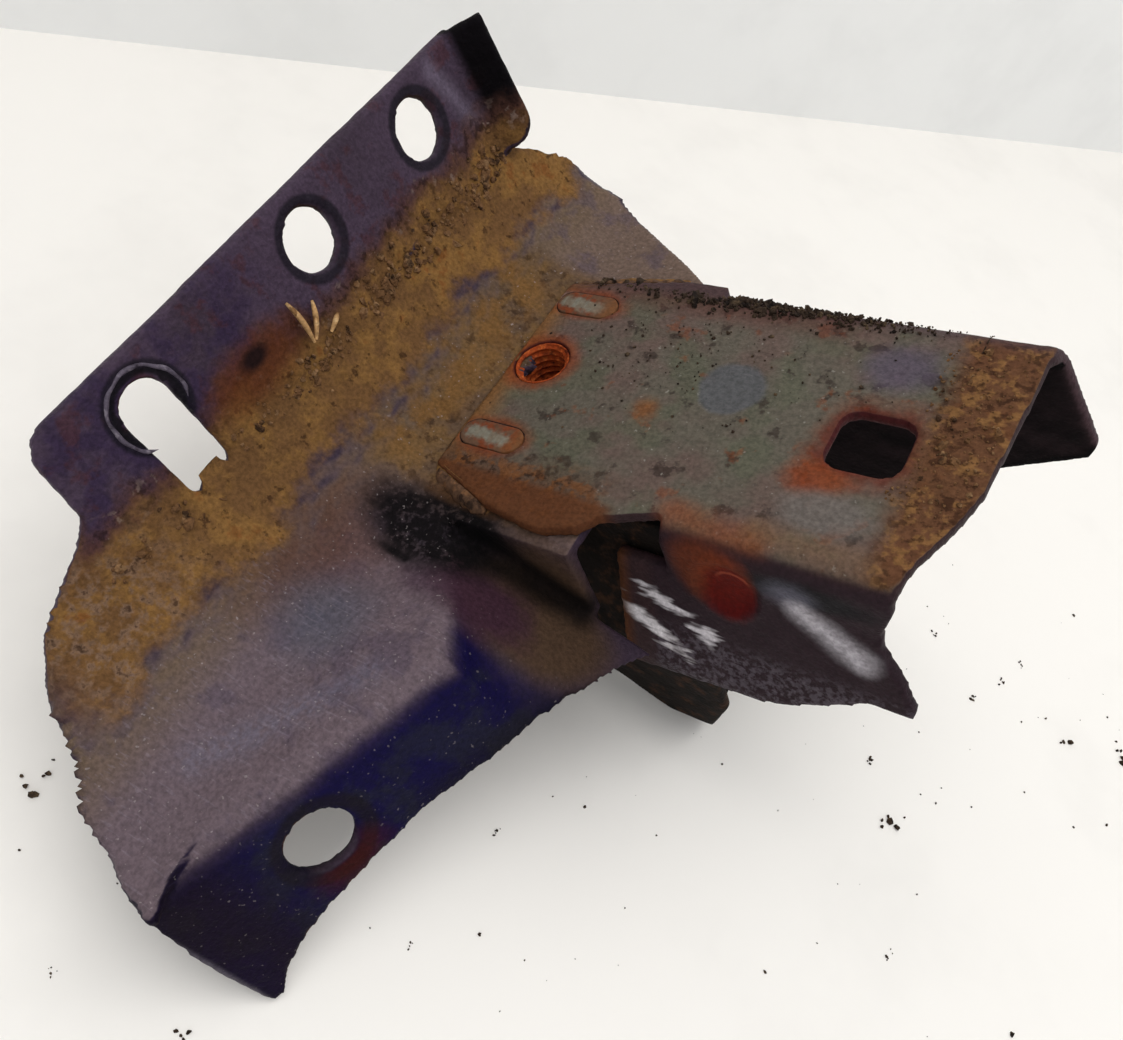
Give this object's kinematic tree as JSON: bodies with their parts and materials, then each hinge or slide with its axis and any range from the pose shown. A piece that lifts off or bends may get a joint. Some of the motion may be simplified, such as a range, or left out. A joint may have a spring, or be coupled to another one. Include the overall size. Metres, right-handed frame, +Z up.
{
  "type": "spare tire carrier bracket",
  "caption": "Stamped steel bracket: a bolt flange and skirted web carry a short channel arm with a square carrier-bolt hole, a welded nut and plug welds.",
  "frame": {"origin": "centre of the square carrier-bolt hole, on the arm's top face", "axes": "+X along the arm away from the bolt flange, +Y across it towards the deep wall, +Z up out of the arm's top face"},
  "size_m": [0.1495, 0.1985, 0.139],
  "materials": {
    "plate_paint": "worn blue-black paint over pressed steel, brown dirt and rust",
    "arm_paint": "thin grey-black paint, rust brown at the edges",
    "trough_paint": "rust brown",
    "nut_steel": "rusty steel with an orange-rust thread",
    "plug_metal": "bare ground weld metal, orange rim",
    "bead_metal": "rusty weld bead"
  },
  "bodies": {
    "root": {"mounting_plate": "plate_paint", "support_arm": "arm_paint", "trough": "trough_paint", "weld_nut": "nut_steel", "plug_weld_near": "plug_metal", "plug_weld_far": "plug_metal", "seam_weld_near": "bead_metal", "seam_weld_far": "bead_metal", "wall_weld": "bead_metal", "trough_weld": "bead_metal"}
  },
  "joints": []
}
